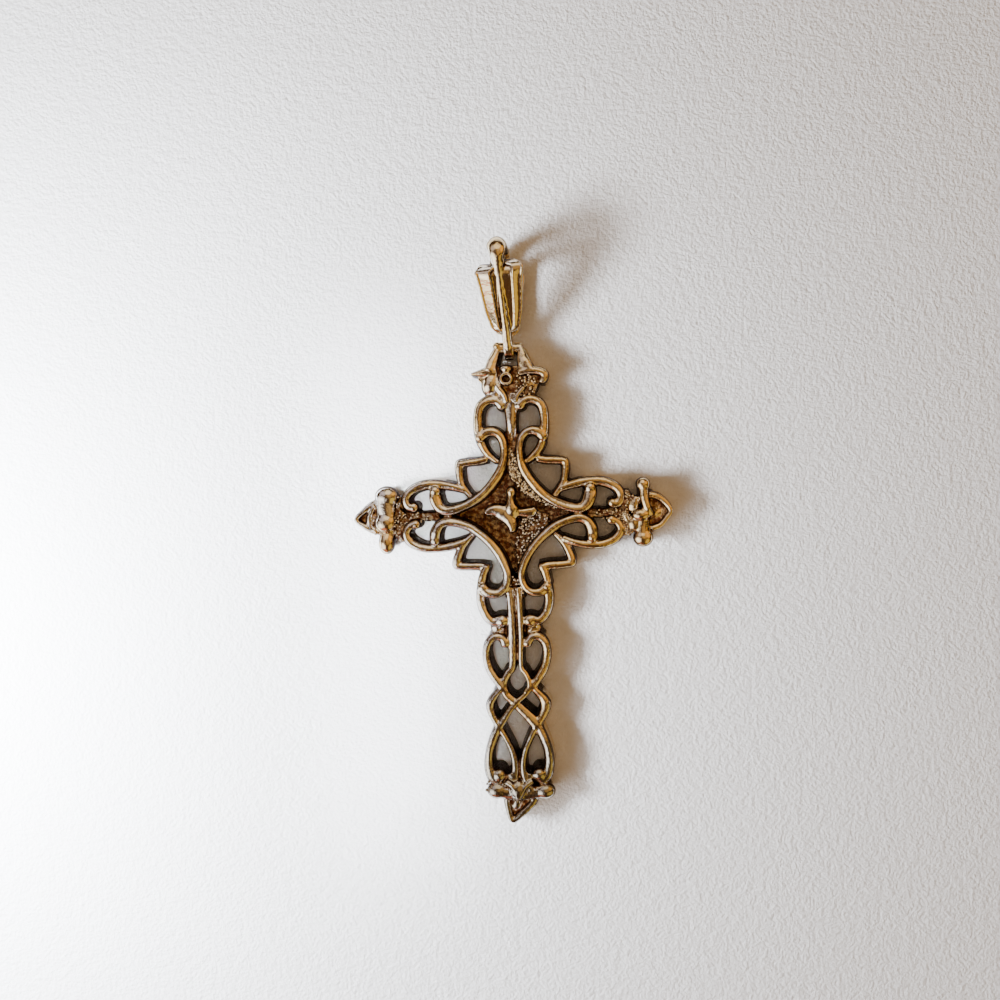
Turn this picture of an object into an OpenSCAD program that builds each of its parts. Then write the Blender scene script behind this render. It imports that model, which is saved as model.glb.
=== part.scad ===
// Filigree cross pendant, cast in silver, with a linked bail. It lies on its back.
// X runs along the arms, Y up the stem to the bail, Z out of the front. Millimetres.
// The origin is the middle of the pendant's footprint, on the surface that it lies on.

/* [Cross] */
// From the middle of the diamond to the tip of either arm
arm_reach = 14.4; // [13.6:0.1:16]
// From the middle of the diamond to the tip of the foot
foot_reach = 27.5; // [26:0.1:30]
// Height of the diamond's frame, the deepest of the castings
frame_top = 2.5; // [2.3:0.05:2.8]
// Height of the scrolls and loops round the frame
scroll_top = 2.25; // [2:0.05:2.5]
// Height of the four-lobed ends
fleur_top = 2.7; // [2.5:0.05:3]
// How much wider a wall is at the back than at the front, on each side
draft = 0.2; // [0.1:0.02:0.26]
// Height of the sunk floor inside the diamond
floor_top = 1.3; // [1:0.05:1.7]
// Diameter of the small hole under the head petal
crown_hole_d = 0.6; // [0.4:0.05:0.7]

/* [Bail] */
// From the hinge to the top of the middle rib
bail_reach = 9.4; // [9:0.1:10]
// Width of the bail over its two side ribbons
bail_w = 4.3; // [4:0.1:4.8]
// Width of the bail's middle rib at its top
rib_w = 1.6; // [1.4:0.05:1.8]
// Front to back of the bail
bail_depth = 5.9; // [5.7:0.05:6.1]
// How far the bail leans to the left of the stem, in degrees
bail_lean = 4; // [0:0.5:5]

/* [Link] */
// Diameter of the bar at the top of the head petal
bar_d = 1.1; // [1:0.02:1.14]
// Diameter of the eye that the bar turns in
eye_d = 1.26; // [1.24:0.02:1.3]
// Width of the eye
eye_w = 0.84; // [0.7:0.02:0.9]

/* [Hidden] */
silver = [0.80, 0.78, 0.75];
bright_silver = [0.86, 0.85, 0.83];

// Named places, measured from the middle of the diamond
diamond_half = 5.6;
arm_nominal = 14.4;
foot_nominal = 27.5;
fleur_tip = 2.89;
bar_y = 15.05;
bar_z = 1.25;
bar_half = 1.0;
eye_wall = 0.46;
// The pendant's length runs from the foot's tip to the top corner of the leaning bail
top_reach = bar_y + bail_reach * cos(bail_lean) + rib_w / 2 * sin(bail_lean);
origin_y = (top_reach - foot_reach) / 2;

// Turns of the tables below. Each row of a wire is one point: x, y, width at the top.
scroll_rows = [[0.75, 9.9, 0.8], [1.3, 10.35, 0.85], [2.05, 10.35, 0.85], [2.7, 9.85, 0.85],
    [2.95, 8.9, 0.85], [2.95, 7.7, 0.85], [2.8, 6.8, 0.8], [2.45, 6.0, 0.75],
    [1.95, 5.4, 0.7], [1.3, 4.85, 0.6]];
crown_stem_rows = [[0, 11, 1.0], [0, 9.6, 0.95], [0, 7.6, 0.85], [0, 5.7, 0.4]];
upper_arc_rows = [[2.8, 7.1, 0.95], [2.2, 7.55, 0.9], [1.4, 7.5, 0.8], [0.85, 6.85, 0.75],
    [0.68, 5.7, 0.75], [0.95, 4.3, 0.8], [1.75, 2.95, 0.8], [2.9, 1.8, 0.8],
    [4.25, 1.05, 0.85], [5.7, 0.65, 0.9], [6.5, 0.95, 1.0], [6.85, 1.75, 1.1],
    [6.9, 2.4, 1.0]];
lower_arc_rows = [[2.85, -6.3, 0.9], [2.3, -6.75, 0.85], [1.45, -6.75, 0.8], [0.8, -6.1, 0.75],
    [0.62, -5.0, 0.75], [1.15, -3.6, 0.8], [2.15, -2.25, 0.8], [3.5, -1.1, 0.8],
    [4.6, -0.55, 0.8], [5.8, -0.3, 0.85], [6.55, -0.6, 0.9], [6.95, -1.3, 1.0],
    [7.0, -2.0, 0.95]];
petal_edge_rows = [[2.2, 5.1, 0.7], [3.0, 4.95, 0.75], [3.9, 4.9, 0.75], [4.75, 4.8, 0.75]];
petal_side_rows = [[4.75, 4.8, 0.75], [4.75, 3.9, 0.75], [4.55, 3.0, 0.7], [4.05, 2.2, 0.65],
    [3.5, 1.6, 0.6]];
lower_petal_scale = 0.9;
upper_loop_rows = [[4.3, 2.4, 0.7], [5.5, 2.75, 0.8], [7.0, 2.95, 0.85], [8.2, 2.85, 0.85],
    [9.15, 2.4, 0.8], [9.6, 1.7, 0.75], [9.4, 1.05, 0.8], [8.85, 0.9, 0.85]];
lower_loop_rows = [[4.3, -2.1, 0.7], [5.5, -2.5, 0.8], [7.0, -2.7, 0.8], [8.2, -2.6, 0.8],
    [9.15, -2.15, 0.8], [9.6, -1.4, 0.75], [9.3, -0.75, 0.75], [8.75, -0.45, 0.75]];
arm_bar_rows = [[6.6, 0.1, 0.7], [7.6, 0.1, 0.9], [8.6, 0.1, 0.8], [10.3, 0, 1.3]];
stem_loop_rows = [[2.4, -4.4, 0.7], [2.8, -5.4, 0.75], [3.0, -6.6, 0.8], [3.0, -7.8, 0.8],
    [2.65, -8.8, 0.8], [2.05, -9.35, 0.8], [1.4, -9.2, 0.9]];
strand_rows = [[0.3, -6.3, 0.7], [0.3, -8, 0.52], [0.3, -10.5, 0.5], [0.32, -12.6, 0.5],
    [0.55, -13.8, 0.5], [0.85, -14.7, 0.5], [0.95, -15.5, 0.5], [0.65, -16.3, 0.5],
    [0, -17.0, 0.55], [-0.75, -17.8, 0.55], [-1.7, -18.8, 0.6]];
leaf_rows = [[0.95, -11.3, 0.8], [1.35, -10.8, 0.75], [2.0, -10.75, 0.75],
    [2.55, -11.4, 0.75], [2.7, -12.4, 0.75], [2.45, -13.5, 0.75], [1.95, -14.4, 0.75],
    [1.3, -15.3, 0.75], [0.8, -15.9, 0.5]];
oval_rows = [[1.3, -15.2, 0.6], [1.85, -16.1, 0.7], [2.15, -17.1, 0.75], [2.05, -17.9, 0.7],
    [1.7, -18.7, 0.7]];
drop_outer_rows = [[1.6, -18.6, 0.7], [2.15, -19.7, 0.75], [2.6, -21.0, 0.75],
    [2.7, -22.2, 0.8], [2.5, -23.2, 0.85], [1.95, -23.5, 0.9], [1.7, -23.1, 1.0]];
drop_inner_rows = [[1.7, -18.7, 0.65], [1.15, -19.7, 0.6], [0.6, -20.9, 0.6],
    [0.35, -22.2, 0.65], [0.5, -23.4, 0.75], [1.0, -24.4, 0.8]];
head_leg_rows = [[1.6, 13.1, 1.0], [1.35, 13.9, 0.85], [1.12, 14.6, 0.68], [1.0, 15.0, 0.6]];
crown_tip_rows = [[1.9, 12.9, 0.9], [2.7, 12.65, 0.75], [3.25, 12.55, 0.5]];
crown_ridge_rows = [[1.15, 11.9, 0.5], [0.7, 11.1, 0.5], [0.4, 10.3, 0.45]];
// Half of the crown's plate: x, y
crown_half = [[0, 13.45], [1.9, 13.25], [2.75, 12.95], [2.9, 12.2], [2.45, 11.7],
    [2.25, 11.1], [2.2, 10.5], [0, 10.2]];
// Rim of the tip petal of a fleur, in the fleur's own frame: x, y, width
petal_rim_rows = [[1.55, 0.3, 0.55], [1.45, 1.0, 0.5], [1.05, 1.75, 0.5], [0, 2.5, 0.45]];

function unit(v) = v / norm(v);
function flat(p) = [p[0], p[1]];
// Wires have their corners on a fine grid, so that no two walls meet at a hair's width
grid = 0.005;
function on_grid(v) = round(v / grid) * grid;
function catmull(a, b, c, d, t) = 0.5 * (2 * b + (c - a) * t
    + (2 * a - 5 * b + 4 * c - d) * t * t + (3 * b - a - 3 * c + d) * t * t * t);
// A smooth line through the rows, with steps parts between one row and the next
function curve(p, steps = 2) = let (last = len(p) - 1) concat(
    [for (i = [0:last - 1], k = [0:steps - 1])
        catmull(p[max(i - 1, 0)], p[i], p[i + 1], p[min(i + 2, last)], k / steps)],
    [p[last]]);
// The nominal tables stretched to the stated reaches, outside the diamond
function stretched(v, nominal, reach) = abs(v) <= diamond_half ? v
    : sign(v) * (diamond_half
        + (abs(v) - diamond_half) * (reach - diamond_half) / (nominal - diamond_half));
function placed(rows) = [for (p = rows) [stretched(p[0], arm_nominal, arm_reach),
    p[1] > 0 ? p[1] : stretched(p[1], foot_nominal, foot_reach), p[2]]];
function spot(x, y) = flat(placed([[x, y, 0]])[0]);
// The direction across the line at a point, longer at a sharp corner so that it is mitred
function across(c, i) = let (n = len(c) - 1,
    a = unit(flat(c[max(i, 1)]) - flat(c[max(i, 1) - 1])),
    b = unit(flat(c[min(i, n - 1) + 1]) - flat(c[min(i, n - 1)])),
    m = unit(a + b))
    [m[1], -m[0]] / max(0.7, a * m);

// A cast wire: an upright foot, drafted walls and a softened top. All castings start below
// the back, which is then cut flat.
module wire(rows, top, slope = draft) {
    foot = -0.15;
    foot_top = 0.12;
    shoulder = 0.3;
    crest = 0.45;
    n = len(rows);
    m = 8;
    points = [for (i = [0:n - 1]) let (s = across(rows, i), h = rows[i][2] / 2)
        for (q = [[-h - slope, foot], [h + slope, foot], [h + slope, foot_top],
            [h, top - shoulder], [h * crest, top], [-h * crest, top], [-h, top - shoulder],
            [-h - slope, foot_top]])
            [on_grid(rows[i][0] + q[0] * s[0]), on_grid(rows[i][1] + q[0] * s[1]), q[1]]];
    start = [for (k = [m - 1:-1:0]) k];
    end = [for (k = [0:m - 1]) (n - 1) * m + k];
    sides = [for (i = [0:n - 2], k = [0:m - 1])
        [i * m + k, i * m + (k + 1) % m, (i + 1) * m + (k + 1) % m, (i + 1) * m + k]];
    polyhedron(points, concat([start], sides, [end]));
}

// A rounded post, and a bud drawn out between two posts
module post(p, r, top, slope = draft) {
    cap = r * 0.6;
    foot = -0.25;
    translate([p[0], p[1], foot]) {
        cylinder(h = top - cap - foot, r1 = r + slope, r2 = r, $fn = 12);
        translate([0, 0, top - cap - foot]) cylinder(h = cap, r1 = r, r2 = r * 0.45, $fn = 12);
    }
}
module bud(p, q, r, top) hull() {
    post(p, r, top);
    post(q, r, top);
}

// A flat plate under the wires
module plate(outline, top) {
    foot = -0.35;
    translate([0, 0, foot]) linear_extrude(top - foot) polygon(outline);
}

module both_sides() {
    children();
    mirror([1, 0, 0]) children();
}

// The four concave wires round the diamond, curled at all their ends
module diamond() {
    both_sides() {
        wire(curve(placed(upper_arc_rows)), frame_top);
        wire(curve(placed(lower_arc_rows)), frame_top);
        post(spot(2.8, 7.1), 0.5, frame_top);
        post(spot(6.9, 2.4), 0.52, frame_top);
        post(spot(2.85, -6.3), 0.48, frame_top);
        post(spot(7.0, -2.0), 0.5, frame_top);
    }
    // Sunk floor, bounded by the frame
    right = concat([for (k = [4:9]) flat(upper_arc_rows[k])],
        [for (k = [9:-1:4]) flat(lower_arc_rows[k])]);
    plate(concat(right, [for (k = [len(right) - 1:-1:0]) [-right[k][0], right[k][1]]]), floor_top);
    flower();
}

// The little raised flower on the diamond's floor
module flower() {
    petal = 0.4;
    bud([0, 1.7], [0, 2.0], petal, frame_top - 0.2);
    bud([0, 1.5], [0, 0.4], petal * 0.8, frame_top - 0.35);
    both_sides() bud([0.3, 0.55], [1.5, 0.4], petal * 0.75, frame_top - 0.45);
    bud([-0.5, -0.4], [-0.6, -1.1], petal * 1.2, frame_top - 0.3);
}

// The pointed loops in the diamond's four corners
module corner_petals() both_sides() for (k = [1, -lower_petal_scale]) {
    side = curve(petal_side_rows);
    rows = concat(curve(petal_edge_rows), [for (i = [1:len(side) - 1]) side[i]]);
    wire([for (p = rows) [p[0], p[1] * k, p[2]]], scroll_top - 0.1);
}

// The two loops that carry each fleur, their curled ends and the bar between them
module arm_loops() both_sides() {
    wire(curve(placed(upper_loop_rows)), scroll_top);
    wire(curve(placed(lower_loop_rows)), scroll_top);
    post(spot(8.87, 0.98), 0.47, scroll_top + 0.05);
    post(spot(8.72, -0.52), 0.44, scroll_top + 0.05);
    wire(curve(placed(arm_bar_rows)), scroll_top - 0.35);
}

// Everything between the diamond and the foot's fleur
module stem() {
    both_sides() {
        wire(curve(placed(stem_loop_rows)), scroll_top);
        wire(curve(placed(leaf_rows)), scroll_top);
        wire(curve(placed(oval_rows)), scroll_top);
        wire(curve(placed(drop_outer_rows)), scroll_top);
        wire(curve(placed(drop_inner_rows)), scroll_top);
        wire(curve(placed(strand_rows)), scroll_top, draft * 0.8);
        post(spot(1.25, -9.35), 0.52, scroll_top + 0.1);
        post(spot(1.0, -11.32), 0.43, scroll_top + 0.05);
        bud(spot(2.1, -9.6), spot(2.05, -10.5), 0.3, scroll_top - 0.2);
        post(spot(1.75, -23.1), 0.5, scroll_top + 0.1);
        bud([0.7, -6.9], [0.2, -7.3], 0.42, scroll_top - 0.3);
    }
    post(spot(0, -5.9), 0.45, scroll_top - 0.2);
}

// Fleur at the end of an arm or the foot: y runs out to its tip, from the lobes' line
module fleur() {
    // Neck and body
    hull() {
        post([-0.75, -1.75], 0.4, fleur_top - 0.7);
        post([0.75, -1.75], 0.4, fleur_top - 0.7);
        post([-1.15, -0.5], 0.55, fleur_top - 0.35);
        post([1.15, -0.5], 0.55, fleur_top - 0.35);
    }
    // Boss and side lobes
    hull() {
        post([0, 0.1], 0.85, fleur_top);
        post([0, -0.5], 0.7, fleur_top);
    }
    both_sides() {
        hull() {
            post([0.8, 0], 0.5, fleur_top - 0.2);
            post([2.6, 0], 0.62, fleur_top - 0.05);
        }
    }
    // Hollow tip petal with its raised rim
    rim = curve(petal_rim_rows);
    whole = concat(rim, [for (k = [len(rim) - 2:-1:0]) [-rim[k][0], rim[k][1], rim[k][2]]]);
    wire(whole, scroll_top - 0.15, draft * 0.5);
    plate([for (p = whole) flat(p)], floor_top - 0.1);
}

// Crown: the fleur under the bail, whose tip petal is open for the link
module crown() {
    plate_top = scroll_top - 0.35;
    hole = [0, 12.25];
    difference() {
        union() {
            plate(concat(crown_half, [for (k = [len(crown_half) - 2:-1:1])
                [-crown_half[k][0], crown_half[k][1]]]), plate_top);
            post(hole, 0.62, scroll_top);
        }
        translate([hole[0], hole[1], -1]) cylinder(h = 5, d = crown_hole_d, $fn = 16);
    }
    // Low dome under the bail, clear of its swing
    bud([-0.35, 13.0], [0.35, 13.0], 0.38, plate_top + 0.1);
    both_sides() {
        wire(curve(crown_tip_rows), fleur_top - 0.4);
        wire(curve(crown_ridge_rows), scroll_top);
        wire(curve(scroll_rows), scroll_top + 0.1);
        post([0.85, 9.9], 0.5, scroll_top + 0.1);
        head_leg();
    }
    wire(curve(crown_stem_rows), scroll_top - 0.2);
    translate([-bar_half, bar_y, bar_z]) rotate([0, 90, 0])
        cylinder(h = 2 * bar_half, d = bar_d, $fn = 16);
}

// One leg of the head petal, which thins to the bar's height at front and back
module head_leg() {
    foot_y = head_leg_rows[0][1];
    top = scroll_top + 0.1;
    front_fall = atan((top - bar_z - bar_d / 2) / (bar_y - foot_y));
    back_rise = 20;
    past = 3;
    difference() {
        wire(curve(head_leg_rows), top, draft / 2);
        translate([-past, foot_y, top]) rotate([-front_fall, 0, 0])
            cube([2 * past, past, past]);
        translate([-past, foot_y + 0.5, 0]) rotate([back_rise, 0, 0]) translate([0, 0, -past])
            cube([2 * past, past, past]);
    }
}

module cross() color(silver) translate([0, -origin_y, 0]) difference() {
    union() {
        diamond();
        corner_petals();
        arm_loops();
        stem();
        crown();
        both_sides() translate([arm_reach - fleur_tip, 0, 0]) rotate([0, 0, -90]) fleur();
        translate([0, -foot_reach + fleur_tip, 0]) rotate([0, 0, 180]) fleur();
    }
    // The flat back
    translate([-20, -35, -5]) cube([40, 60, 5]);
}

// Two circles and the band round both, in the bail's side view: x is up the bail, y forward
module belt(c1, r1, c2, r2) {
    way = c2 - c1;
    turn = acos((r1 - r2) / norm(way));
    a = atan2(way[1], way[0]);
    translate(c1) circle(r1, $fn = 64);
    translate(c2) circle(r2, $fn = 64);
    polygon([for (s = [[c1, r1, turn], [c2, r2, turn], [c2, r2, -turn], [c1, r1, -turn]])
        s[0] + s[1] * [cos(a + s[2]), sin(a + s[2])]]);
}

// A closed loop of ribbon, seen from the side, carried across the bail's width. It is sunk
// by some depth at its waist.
module loop(reach, depth, thick, sunk) {
    r = depth / 2;
    centre = [reach - r, r - bar_z + 0.05];
    rotate([90, 0, 90]) linear_extrude(bail_w + 2, center = true) difference() {
        belt([0, 0], eye_d / 2 + eye_wall - sunk, centre, r);
        belt([2.1, 0.35], 0.42, centre, r - thick);
        circle(d = eye_d, $fn = 64);
    }
}

// The bail's front outline: narrow at the eye, flaring to the lobed top. Rows: half width, y
side_outline = [[eye_w / 2, -2], [eye_w / 2, 1.2], [1.0, 1.45], [1.15, 2.8], [1.5, 5],
    [bail_w / 2 - 0.12, 7], [bail_w / 2, 8.2], [bail_w / 2 - 0.1, 9]];
rib_outline = [[eye_w / 2, -2], [eye_w / 2, 2], [0.42, 5], [rib_w / 2 - 0.2, 7.4],
    [rib_w / 2, 8.8], [rib_w / 2 - 0.05, 9.6]];
module front_outline(rows) polygon(concat(rows,
    [for (k = [len(rows) - 1:-1:0]) [-rows[k][0], rows[k][1]]]));
module rims() for (s = [-1, 1]) polygon(concat(
    [for (p = side_outline) [s * p[0], p[1]]],
    [for (k = [len(side_outline) - 1:-1:2]) [s * (side_outline[k][0] - 0.5), side_outline[k][1]]],
    [[s * 0.3, 1.45], [s * 0.3, -2]]));

module bail() color(bright_silver) translate([0, bar_y - origin_y, bar_z])
    rotate([0, 0, bail_lean]) {
    intersection() {
        loop(bail_reach - 1.4, bail_depth - 0.6, 0.42, 0.3);
        linear_extrude(20, center = true) front_outline(side_outline);
    }
    intersection() {
        loop(bail_reach - 1.2, bail_depth - 0.2, 0.62, 0.1);
        linear_extrude(20, center = true) rims();
    }
    intersection() {
        loop(bail_reach, bail_depth, 0.6, 0);
        linear_extrude(20, center = true) front_outline(rib_outline);
    }
}

cross();
bail();
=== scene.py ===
# %% [markdown]
# # A filigree cross pendant in cast silver
# The pendant was cast in one piece in a mould and polished by hand, and a small bail turns
# on the bar at its top. It lies on its back on textured paper. Lengths in this lesson are
# in millimetres, because the wires are under a millimetre wide, and each finished mesh is
# scaled to metres once.

import math

import bmesh
import bpy
import numpy as np
from mathutils import Matrix, Vector
from mathutils.bvhtree import BVHTree


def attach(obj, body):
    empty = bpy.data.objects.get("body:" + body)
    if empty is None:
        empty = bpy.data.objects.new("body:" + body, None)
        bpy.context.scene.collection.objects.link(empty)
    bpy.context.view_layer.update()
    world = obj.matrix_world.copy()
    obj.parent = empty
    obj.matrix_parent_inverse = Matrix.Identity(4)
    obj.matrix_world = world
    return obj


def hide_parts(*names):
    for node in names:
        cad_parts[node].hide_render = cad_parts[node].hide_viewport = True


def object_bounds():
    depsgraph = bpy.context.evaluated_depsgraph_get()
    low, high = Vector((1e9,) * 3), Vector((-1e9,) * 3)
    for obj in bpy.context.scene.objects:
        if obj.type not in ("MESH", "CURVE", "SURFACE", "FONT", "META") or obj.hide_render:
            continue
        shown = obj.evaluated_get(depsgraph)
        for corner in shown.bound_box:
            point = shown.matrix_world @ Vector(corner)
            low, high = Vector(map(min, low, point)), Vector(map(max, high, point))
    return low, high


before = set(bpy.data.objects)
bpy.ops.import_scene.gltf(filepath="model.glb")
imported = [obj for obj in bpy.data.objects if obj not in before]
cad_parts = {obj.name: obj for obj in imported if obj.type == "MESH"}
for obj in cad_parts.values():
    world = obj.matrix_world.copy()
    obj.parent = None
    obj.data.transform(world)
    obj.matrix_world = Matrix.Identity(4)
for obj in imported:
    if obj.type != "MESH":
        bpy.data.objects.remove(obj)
cad_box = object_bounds()
MM = 0.001
lo, hi = (np.array(corner) / MM for corner in cad_box)
print("frame in mm:", lo.round(2), hi.round(2))

# %% [markdown]
# The tables below measure everything from the middle of the diamond, as a jeweller would
# with callipers. The frame's origin is the middle of the whole pendant, 1.5 mm lower, and
# the bar that the bail hangs on ties the two together. Tops are heights over the table.

# %% Places shared by several pieces
BAR_Y, BAR_Z, BAR_R = 15.05, 1.25, 0.54
BAR_Y_IN_FRAME = 16.5585
SHIFT_Y = BAR_Y_IN_FRAME - BAR_Y
FRAME_TOP, SCROLL_TOP, FLEUR_TOP, FLOOR_TOP = 2.5, 2.25, 2.7, 1.3
DRAFT = 0.06
print("the diamond's middle lies", round(SHIFT_Y, 4), "mm above the frame's")

# %% [markdown]
# A cast wire has walls that lean out towards the back, so that it could leave the mould,
# and a crest that polishing has rounded. Each row of a table is a point of the wire: x, y,
# width, and how far the crest rises or dips there. A smooth line runs through the rows.

# %% Smooth lines
def smooth_line(rows, steps=8):
    """A line through the rows, with steps parts between one row and the next."""
    p = np.array([list(row) + [0] * (4 - len(row)) for row in rows], float)
    p = np.vstack([2 * p[0] - p[1], p, 2 * p[-1] - p[-2]])
    t = np.arange(steps)[:, None] / steps
    parts = [
        0.5 * (2 * b + (c - a) * t + (2 * a - 5 * b + 4 * c - d) * t**2
               + (3 * b - a - 3 * c + d) * t**3)
        for a, b, c, d in zip(p[:-3], p[1:-2], p[2:-1], p[3:])
    ]
    return np.vstack(parts + [p[-2:-1]])


SAMPLE = [[0, 0, 1], [1, 0, 1], [2, 1, 1]]
print("a line through 3 rows has", len(smooth_line(SAMPLE)), "points")

# %% [markdown]
# Every part of the wax is a closed solid. A mould only collects them, and they may overlap
# as they like until they are cast as one skin.

# %% A mould for the solids
class Mould:
    """Collects closed solids, in millimetres, that are then cast as one piece."""

    def __init__(self):
        self.points, self.faces, self.count = [], [], 0

    def add(self, points, faces):
        points = np.array(points, float)
        self.points.append(points)
        self.faces += [[self.count + i for i in face] for face in faces]
        self.count += len(points)

    def rings(self, rings):
        """A closed solid through rings of equal length, capped at both ends."""
        n, m = len(rings), len(rings[0])
        faces = [[i * m + k, i * m + (k + 1) % m, (i + 1) * m + (k + 1) % m, (i + 1) * m + k]
                 for i in range(n - 1) for k in range(m)]
        faces += [list(range(m))[::-1], [(n - 1) * m + k for k in range(m)]]
        self.add(np.concatenate(rings), faces)


print("mould ready")

# %% [markdown]
# No wire of a hand-made wax is quite even. Its width, its crest and the tilt of its top
# drift slowly along it. Each drift is given by how often it takes a new aim, and by how
# much, and each wire has its own fixed seed.

# %% Sweep a wire
SWELL = 1.08
WIDTH_DRIFT, CREST_DRIFT, TILT_DRIFT = (1.4, 0.1), (1.8, 0.06), (2.2, 0.3)
LEAST_WALL = 0.05
CREST_TURN = np.linspace(0, math.pi, 15)


def wander(line, step, amount, rng):
    """A slow random drift along a line, with a new aim every step millimetres."""
    parts = np.linalg.norm(np.diff(line[:, :2], axis=0), axis=1)
    run = np.concatenate([[0], np.cumsum(parts)])
    stops = np.arange(0, run[-1] + 2 * step, step)
    return np.interp(run, stops, rng.uniform(-amount, amount, len(stops)))


def wire(mould, rows, top, slope=DRAFT, dome=0.55, steps=8, foot=0.0):
    """Sweeps the drafted section of a cast wire along the rows, as uneven as hand work."""
    line = smooth_line(rows, steps)
    rng = np.random.default_rng(mould.count)
    width = line[:, 2] * (SWELL + wander(line, *WIDTH_DRIFT, rng))
    crests = top + line[:, 3] + wander(line, *CREST_DRIFT, rng)
    tilts = wander(line, *TILT_DRIFT, rng)
    along = np.gradient(line[:, :2], axis=0)
    along /= np.linalg.norm(along, axis=1)[:, None]
    across = np.stack([along[:, 1], -along[:, 0]], axis=1)
    rings = []
    for point, side, half, crest, tilt in zip(line, across, width / 2, crests, tilts):
        rise = min(dome, crest - foot - LEAST_WALL)
        crown = half * np.cos(CREST_TURN)
        u = np.concatenate([[-(half + slope), half + slope], crown])
        arch = np.sin(CREST_TURN) ** 0.75
        z = np.concatenate([[foot, foot], crest - rise + rise * arch + tilt * crown])
        rings.append(np.column_stack([point[0] + u * side[0], point[1] + u * side[1], z]))
    mould.rings(rings)


print("wires ready, with a draft of", DRAFT, "mm")

# %% [markdown]
# Curls end in round posts, the lobes are egg-shaped beads, and the sunk floors are plates.

# %% Posts, plates and beads
POST_TURN = np.linspace(0, 2 * math.pi, 24, endpoint=False)


def post(mould, x, y, r, top):
    """A round post with a domed top, and the ball at the end of a curl."""
    rise = min(0.8 * r, top - LEAST_WALL)
    profile = [(r + DRAFT, 0.0)]
    profile += [(r * math.cos(a), top - rise + rise * math.sin(a))
                for a in np.linspace(0, math.pi / 2 * 0.97, 8)]
    mould.rings([np.column_stack([x + radius * np.cos(POST_TURN),
                                  y + radius * np.sin(POST_TURN), np.full(24, z)])
                 for radius, z in profile])


def plate(mould, outline, top):
    """A flat plate with the given outline, from the table up."""
    flat = np.array(outline, float)
    mould.rings([np.column_stack([flat, np.full(len(flat), z)]) for z in (0.0, top)])


def bead(mould, centre, radii, turn=0.0):
    """An egg-shaped bead, turned about Z."""
    ball = bmesh.new()
    size = max(radii)
    bmesh.ops.create_icosphere(ball, subdivisions=1 + (size > 0.2) + (size > 0.3), radius=1)
    points = np.array([v.co for v in ball.verts]) * np.array(radii)
    c, s = math.cos(turn), math.sin(turn)
    points = points @ np.array([[c, s, 0], [-s, c, 0], [0, 0, 1]]) + np.array(centre)
    mould.add(points, [[v.index for v in f.verts] for f in ball.faces])
    ball.free()


print("solids ready")

# %% [markdown]
# Silversmiths fuse grains, wires and lobes into one casting with soft joins. A voxel
# remesh does the same here: it makes one skin round all the overlapping solids. Smoothing
# takes out the voxel steps, and decimation spends the triangles where the form bends.
# The grains are set on last, because a remesh would melt them away.

# %% Cast a mould into one mesh
LIFT = 0.001


def cast(name, mould, grains, voxel, faces, smooth):
    """One smooth mesh in metres from the mould's solids, with its grains set on it."""
    mesh = bpy.data.meshes.new(name)
    mesh.from_pydata(np.concatenate(mould.points).tolist(), [], mould.faces)
    mesh.update()
    piece = bpy.data.objects.new(name, mesh)
    bpy.context.scene.collection.objects.link(piece)
    skin = piece.modifiers.new("skin", "REMESH")
    skin.mode, skin.voxel_size, skin.adaptivity = "VOXEL", voxel, 0.0
    soften = piece.modifiers.new("soften", "SMOOTH")
    soften.factor, soften.iterations = 0.5, smooth
    even = piece.modifiers.new("even", "TRIANGULATE")
    even.quad_method = "SHORTEST_DIAGONAL"
    fewer = piece.modifiers.new("fewer", "DECIMATE")
    fewer.decimate_type = "COLLAPSE"
    depsgraph = bpy.context.evaluated_depsgraph_get()
    full = len(piece.evaluated_get(depsgraph).data.polygons)
    fewer.ratio = min(1.0, faces / full)
    depsgraph.update()
    done = bpy.data.meshes.new_from_object(piece.evaluated_get(depsgraph))
    piece.modifiers.clear()
    piece["grains_from"] = len(done.vertices)
    joined = bmesh.new()
    joined.from_mesh(done)
    loose = bpy.data.meshes.new("grains")
    loose.from_pydata(np.concatenate(grains.points).tolist(), [], grains.faces)
    joined.from_mesh(loose)
    joined.to_mesh(done)
    joined.free()
    piece.data = done
    done.name = name
    done.transform(Matrix.Translation((0, SHIFT_Y * MM, LIFT * MM)) @ Matrix.Scale(MM, 4))
    for polygon in done.polygons:
        polygon.use_smooth = True
    print(name, "cast:", full, "triangles thinned to", len(done.polygons))
    return piece


print("casting ready")

# %% [markdown]
# ## The diamond
# Four concave wires frame a sunk floor, and each wire curls back at both of its ends. The
# floor is dull and grainy, and a small flower stands on it.

# %% Wires of the diamond
def mirrored(rows):
    """The rows of the wire on the other side of the stem."""
    return [[-row[0], *row[1:]] for row in rows]


def wires(mould, rows, top):
    """The same wire on the right and, mirrored, on the left."""
    for side in (rows, mirrored(rows)):
        wire(mould, side, top)


def posts(mould, x, y, r, top):
    """The same post on the right and on the left."""
    for side in (x, -x):
        post(mould, side, y, r, top)


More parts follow.
